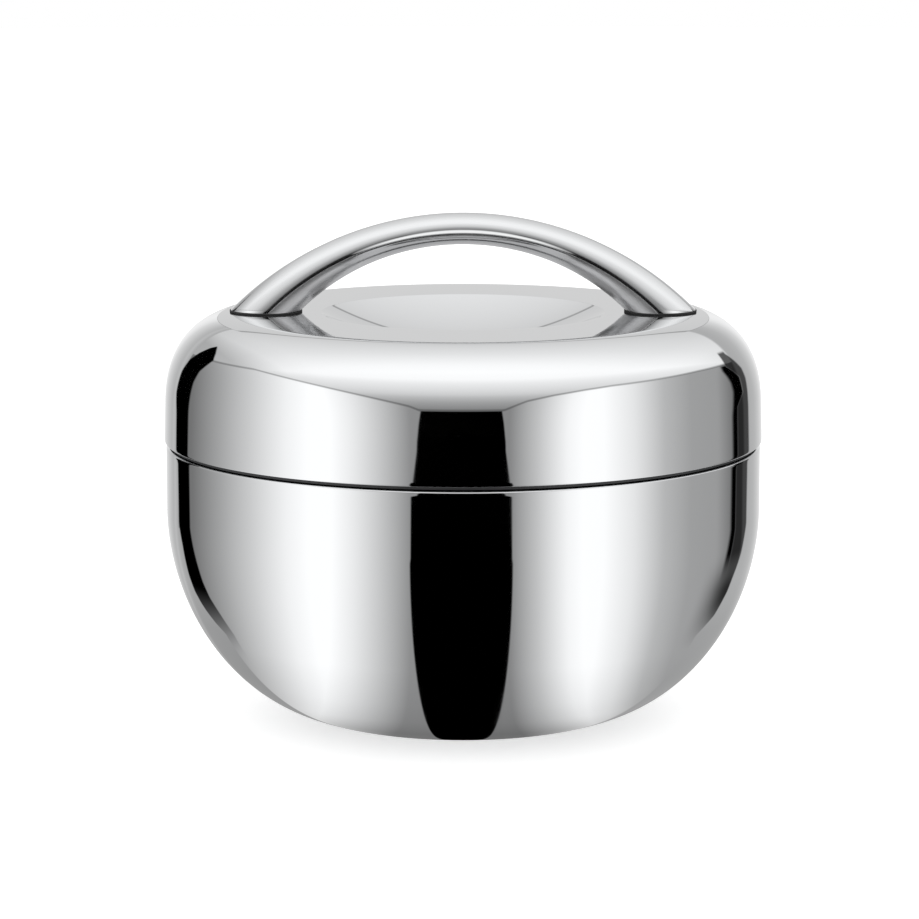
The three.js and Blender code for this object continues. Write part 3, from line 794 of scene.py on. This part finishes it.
def front_flag(tree, leans):
    """How far inside the front flag's outline a lean is. The flag narrows upwards."""
    outline = plain([(-0.04, 0.1685), (0, 0.1645), (0.068, 0.1605), (0.167, 0.157), (0.27, 0.152)])
    outline = add(tree, "ShaderNodeValToRGB", {"Fac": leans["half_height"]}, stops=outline).outputs["Color"]
    narrower = add(
        tree, "ShaderNodeMapRange",
        {"Value": leans["height"], "From Min": 0.011, "From Max": 0.029, "To Max": 0.018},
    ).outputs["Result"]
    outline = add(tree, "ShaderNodeMath", {0: outline, 1: narrower}, operation="SUBTRACT").outputs["Value"]
    middle = add(tree, "ShaderNodeMath", {0: leans["azimuth"], 1: FRONT_FLAG_OFFSET}, operation="ADD")
    off_middle = add(tree, "ShaderNodeMath", {0: middle.outputs["Value"]}, operation="ABSOLUTE")
    return add(
        tree, "ShaderNodeMath", {0: outline, 1: off_middle.outputs["Value"]}, operation="SUBTRACT",
    ).outputs["Value"]


def studio():
    """World: a ceiling of light, a softbox at each side, and black flags in front and at both sides.

    Light from a direction depends on the way that a mirror must lean to send it towards the front.
    """
    world = bpy.data.worlds.new("studio")
    world.use_nodes = True
    bpy.context.scene.world = world
    tree = world.node_tree
    tree.nodes.clear()
    leans = mirror_leans(tree)
    height, azimuth = leans["height"], leans["azimuth"]
    light = softboxes(tree, leans)
    ceiling, over_edge = light_ceiling(tree, leans)
    rim = grey_rims(tree, leans)
    left_in, left_out, right_in, right_out, frame_out = side_flags(tree, leans)
    in_front = front_flag(tree, leans)

    # Below the seam the grey starts right at the flags
    above = add(tree, "ShaderNodeMapRange", {"Value": height, "From Min": -0.05, "From Max": 0.05})
    above = above.outputs["Result"]
    low_left = add(tree, "ShaderNodeMath", {0: left_out, 1: above}, operation="ADD").outputs["Value"]
    low_right = add(tree, "ShaderNodeMath", {0: frame_out, 1: above}, operation="SUBTRACT").outputs["Value"]

    # Pale backdrop behind the box, which the flat ring and the hollow of the lid show
    raised = add(tree, "ShaderNodeMapRange", {"Value": height, "From Min": 0.92, "From Max": 0.8})
    behind_box = add(
        tree, "ShaderNodeMath", {0: leans["straight_on"], 1: raised.outputs["Result"]}, operation="SUBTRACT",
    ).outputs["Value"]
    backdrop = linear("#C4C4C4")[0]

    # Where one surface ends and the next begins: the lean, where it starts and is full, and what is behind
    for coordinate, start, full, behind in (
        (over_edge, -0.006, 0.006, ceiling),
        (azimuth, 0.925, 0.935, rim), (azimuth, -0.948, -0.952, rim),
        (low_left, LEFT_OUTER_EDGE + 0.003, LEFT_OUTER_EDGE - 0.003, rim),
        (low_right, RIGHT_OUTER_EDGE - 0.003, RIGHT_OUTER_EDGE + 0.003, rim),
        (behind_box, BACKDROP_EDGE - 0.01, BACKDROP_EDGE + 0.01, backdrop),
    ):
        share = add(
            tree, "ShaderNodeMapRange", {"Value": coordinate, "From Min": start, "From Max": full},
            interpolation_type="SMOOTHSTEP",
        ).outputs["Result"]
        light = add(tree, "ShaderNodeMix", {"Factor": share, "A": light, "B": behind}).outputs["Result"]

    # Flags and dim lines: how much each takes away, and the soft edges that it lies between
    frame_edge = (frame_out, RIGHT_OUTER_EDGE + 0.003, RIGHT_OUTER_EDGE - 0.003)
    for strength, edges in (
        # Thin line round the backdrop
        (0.45, [
            (behind_box, BACKDROP_EDGE - 0.02, BACKDROP_EDGE - 0.008),
            (behind_box, BACKDROP_EDGE + 0.01, BACKDROP_EDGE),
        ]),
        # Thin line along the ceiling's edge
        (0.45, [
            (over_edge, -0.014, -0.002), (over_edge, 0.018, 0.006),
            (azimuth, -0.93, -0.91), (azimuth, 0.92, 0.9),
        ]),
        # Front flag
        (1, [(in_front, -0.003, 0.003), (height, 0.27, 0.26)]),
        # Left flag
        (1, [
            (left_in, -0.912, -0.918), (left_out, LEFT_OUTER_EDGE - 0.002, LEFT_OUTER_EDGE + 0.002),
            (height, -0.56, -0.26), (height, 0.78, 0.75),
        ]),
        # Right flag, its grey frame, and the two run together below
        (1, [
            (right_in, 0.881, 0.893), (right_out, 0.89, 0.884), (height, -0.26, -0.12), (height, 0.5, 0.47),
        ]),
        (0.87, [(right_out, 0.884, 0.89), frame_edge, (height, -0.26, -0.12), (height, 0.65, 0.61)]),
        (0.88, [(right_in, 0.812, 0.927), frame_edge, (height, -0.1, -0.28), (height, -0.53, -0.3)]),
    ):
        panel = strength
        for coordinate, start, full in edges:
            share = add(
                tree, "ShaderNodeMapRange", {"Value": coordinate, "From Min": start, "From Max": full},
                interpolation_type="SMOOTHSTEP",
            ).outputs["Result"]
            panel = add(tree, "ShaderNodeMath", {0: panel, 1: share}, operation="MULTIPLY").outputs["Value"]
        kept = add(tree, "ShaderNodeMath", {0: 1.0, 1: panel}, operation="SUBTRACT").outputs["Value"]
        light = add(tree, "ShaderNodeMath", {0: light, 1: kept}, operation="MULTIPLY").outputs["Value"]

    # The metal keeps four fifths of the light, so the studio is that much brighter than its picture in it
    in_metal = add(
        tree, "ShaderNodeBackground", {"Color": light, "Strength": 1 / linear(STEEL_SHADE)[0]},
    ).outputs["Background"]
    even = add(
        tree, "ShaderNodeBackground", {"Color": linear("#FFFFFF"), "Strength": 1},
    ).outputs["Background"]
    rays = add(tree, "ShaderNodeLightPath").outputs
    mirrored = add(
        tree, "ShaderNodeMath", {0: rays["Is Glossy Ray"], 1: rays["Is Transmission Ray"]},
        operation="MAXIMUM",
    ).outputs["Value"]
    both = add(tree, "ShaderNodeMixShader", {0: mirrored, 1: even, 2: in_metal}).outputs["Shader"]
    add(tree, "ShaderNodeOutputWorld", {"Surface": both})


def pale_floor():
    """Floor: pale, takes the soft shadow of the box, and fades to white away from it.

    It lies a hair below the standing ring, so that no face of the two falls in one plane.
    """
    bm = bmesh.new()
    bmesh.ops.create_circle(bm, cap_ends=True, segments=128, radius=FLOOR_RADIUS)
    mesh = bpy.data.meshes.new("floor")
    bm.to_mesh(mesh)
    bm.free()
    floor = bpy.data.objects.new("floor", mesh)
    bpy.context.scene.collection.objects.link(floor)
    floor.location.z = -FLOOR_DROP
    floor.visible_glossy = False
    material, tree, shader = finish_of("pale_floor", "#F2F2F2", 0, 0.8)
    shader.inputs["Emission Color"].default_value = linear("#FFFFFF")
    shader.inputs["Emission Strength"].default_value = 0.5
    mesh.materials.append(material)


studio()
pale_floor()

# Camera: a metre from the box and 9.5 degrees over it, with a long lens
CAMERA_DISTANCE = 1
CAMERA_ELEVATION = math.radians(9.469)
CAMERA_TARGET = Vector((0, 0, 0.062))
camera_data = bpy.data.cameras.new("camera")
camera_data.lens = 157.5
camera_data.sensor_width = 36
camera_data.shift_x = -0.0040
camera_data.shift_y = 0.0060
camera = bpy.data.objects.new("camera", camera_data)
bpy.context.scene.collection.objects.link(camera)
away = Vector((0, -math.cos(CAMERA_ELEVATION), math.sin(CAMERA_ELEVATION)))
camera.location = CAMERA_TARGET + away * CAMERA_DISTANCE
camera.rotation_euler = (-away).to_track_quat("-Z", "Y").to_euler()
bpy.context.scene.camera = camera
bpy.context.scene.view_settings.view_transform = "Standard"
